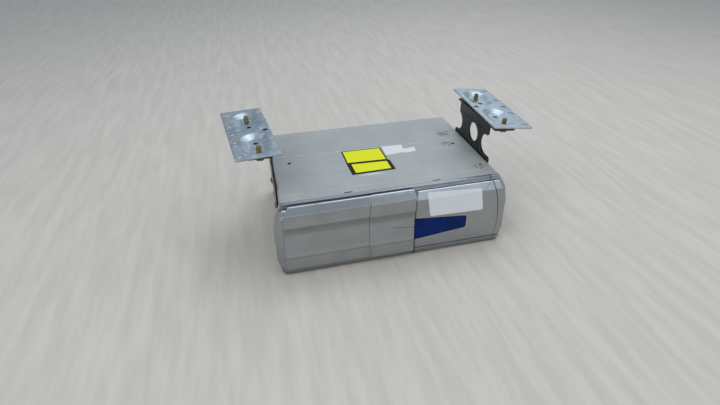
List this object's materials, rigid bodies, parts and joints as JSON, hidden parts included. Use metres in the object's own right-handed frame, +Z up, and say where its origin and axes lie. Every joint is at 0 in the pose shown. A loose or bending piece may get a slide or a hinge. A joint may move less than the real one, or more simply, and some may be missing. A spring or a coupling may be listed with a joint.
{
  "type": "car cd changer",
  "caption": "Flat steel-cased car disc changer with a moulded front, a sliding door over the disc magazine, and a perforated mounting plate on a bracket at each side.",
  "frame": {"origin": "middle of the flat lid face that the casing lies on", "axes": "+X along the front to the right as seen from the front, +Y from the front to the back, +Z up through the casing to its brackets"},
  "size_m": [0.3666, 0.1951, 0.1448],
  "materials": {
    "casing_sheet": "satin grey coated steel sheet",
    "silver_plastic": "silver-grey metallic moulding",
    "blue_plastic": "deep blue gloss",
    "black_felt": "black felt",
    "black_steel": "gloss black enamel on steel",
    "zinc_plate": "zinc-plated steel",
    "yellow_zinc": "yellow-passivated steel",
    "bright_steel": "bright steel",
    "black_plastic": "black moulding",
    "tray_plastic": "dark grey moulding",
    "rubber": "soft black rubber",
    "galvanised": "galvanised sheet",
    "green_board": "green laminate",
    "white_plastic": "white acetal"
  },
  "bodies": {
    "casing": {"base_shell": "casing_sheet", "lid_plate": "casing_sheet", "rear_panel": "casing_sheet", "casing_screws": "bright_steel", "front_bezel": "silver_plastic", "end_cap": "silver_plastic", "number_panel": "blue_plastic", "bracket_left": "black_steel", "bracket_right": "black_steel", "mounting_plate_left": "zinc_plate", "mounting_plate_right": "zinc_plate", "plate_bolts_left": "yellow_zinc", "plate_bolts_right": "yellow_zinc", "bracket_screws_left": "bright_steel", "bracket_screws_right": "bright_steel", "magazine_bay": "galvanised", "mech_chassis": "galvanised", "dampers": "rubber", "guide_posts": "bright_steel", "lift_motor": "bright_steel", "main_board": "green_board", "data_socket": "black_plastic"},
    "door": {"door_panel": "silver_plastic", "door_grip": "silver_plastic", "door_seal": "black_felt"},
    "button": {"eject_button": "black_plastic"},
    "lever": {"eject_lever": "white_plastic"},
    "magazine": {"magazine_shell": "black_plastic", "tray_02": "tray_plastic", "tray_03": "tray_plastic", "tray_04": "tray_plastic", "tray_09": "tray_plastic"},
    "deck": {"playback_deck": "galvanised", "spindle_motor": "bright_steel", "sled_rods": "bright_steel", "sled_motor": "bright_steel"},
    "spindle": {"turntable": "black_plastic"},
    "sled": {"pickup": "black_plastic"},
    "sled_drive": {"sled_screw": "bright_steel"},
    "clamp": {"clamp_arm": "galvanised"},
    "puck": {"clamp_puck": "black_plastic"},
    "lift_drive": {"lift_screw": "bright_steel", "lift_screw_gear": "white_plastic"},
    "motor_drive": {"lift_motor_gear": "white_plastic"},
    "tray_01_body": {"tray_01": "tray_plastic"},
    "tray_05_body": {"tray_05": "tray_plastic"},
    "tray_06_body": {"tray_06": "tray_plastic"},
    "tray_07_body": {"tray_07": "tray_plastic"},
    "tray_08_body": {"tray_08": "tray_plastic"},
    "tray_10_body": {"tray_10": "tray_plastic"}
  },
  "joints": [
    {"name": "door_slide", "type": "slide", "parent": "casing", "child": "door", "axis": [1, 0, 0], "range_m": [0, 0.129]},
    {"name": "eject_push", "type": "slide", "parent": "casing", "child": "button", "axis": [0, 1, 0], "range_m": [0, 0.00453]},
    {"name": "eject_lever_turn", "type": "hinge", "parent": "casing", "child": "lever", "pos_m": [-0.005, -0.078, 0.008], "axis": [0, 0, 1], "range_deg": [0, 18.54]},
    {"name": "magazine_eject", "type": "slide", "parent": "casing", "child": "magazine", "axis": [0, -1, 0], "range_m": [0, 0.011]},
    {"name": "deck_lift", "type": "slide", "parent": "casing", "child": "deck", "axis": [0, 0, 1], "range_m": [0, 0.054]},
    {"name": "lift_screw_turn", "type": "hinge", "parent": "casing", "child": "lift_drive", "pos_m": [0.008, 0.06, 0.0065], "axis": [0, 0, 1], "range_deg": [0, 3240]},
    {"name": "lift_motor_turn", "type": "hinge", "parent": "casing", "child": "motor_drive", "pos_m": [0.0215, 0.06, 0.0065], "axis": [0, 0, 1], "range_deg": [-6480, 0]},
    {"name": "spindle_spin", "type": "hinge", "parent": "deck", "child": "spindle", "pos_m": [0.0477, -0.0198, 0.024], "axis": [0, 0, 1], "continuous": true},
    {"name": "pickup_slide", "type": "slide", "parent": "deck", "child": "sled", "axis": [1, 0, 0], "range_m": [0, 0.034]},
    {"name": "sled_screw_turn", "type": "hinge", "parent": "deck", "child": "sled_drive", "pos_m": [0.0614, 0.0065, 0.0295], "axis": [1, 0, 0], "range_deg": [0, 3600]},
    {"name": "clamp_lift", "type": "hinge", "parent": "deck", "child": "clamp", "pos_m": [0.0477, 0.052, 0.0105], "axis": [-1, 0, 0], "range_deg": [0, 1.6]},
    {"name": "puck_spin", "type": "hinge", "parent": "clamp", "child": "puck", "pos_m": [0.0477, -0.0198, 0.0095], "axis": [0, 0, 1], "continuous": true},
    {"name": "tray_01_slide", "type": "slide", "parent": "magazine", "child": "tray_01_body", "axis": [1, 0, 0], "range_m": [0, 0.112]},
    {"name": "tray_05_slide", "type": "slide", "parent": "magazine", "child": "tray_05_body", "axis": [1, 0, 0], "range_m": [0, 0.112]},
    {"name": "tray_06_slide", "type": "slide", "parent": "magazine", "child": "tray_06_body", "axis": [1, 0, 0], "range_m": [0, 0.112]},
    {"name": "tray_07_slide", "type": "slide", "parent": "magazine", "child": "tray_07_body", "axis": [1, 0, 0], "range_m": [0, 0.112]},
    {"name": "tray_08_slide", "type": "slide", "parent": "magazine", "child": "tray_08_body", "axis": [1, 0, 0], "range_m": [0, 0.112]},
    {"name": "tray_10_slide", "type": "slide", "parent": "magazine", "child": "tray_10_body", "axis": [1, 0, 0], "range_m": [0, 0.112]}
  ],
  "couplings": [
    {"joint": "eject_lever_turn", "follows": "eject_push", "rad_per_m": 71.429},
    {"joint": "magazine_eject", "follows": "eject_push", "ratio": 2.4286},
    {"joint": "lift_screw_turn", "follows": "deck_lift", "rad_per_m": 1047.2},
    {"joint": "lift_motor_turn", "follows": "deck_lift", "rad_per_m": -2094.4},
    {"joint": "sled_screw_turn", "follows": "pickup_slide", "rad_per_m": 1848}
  ]
}
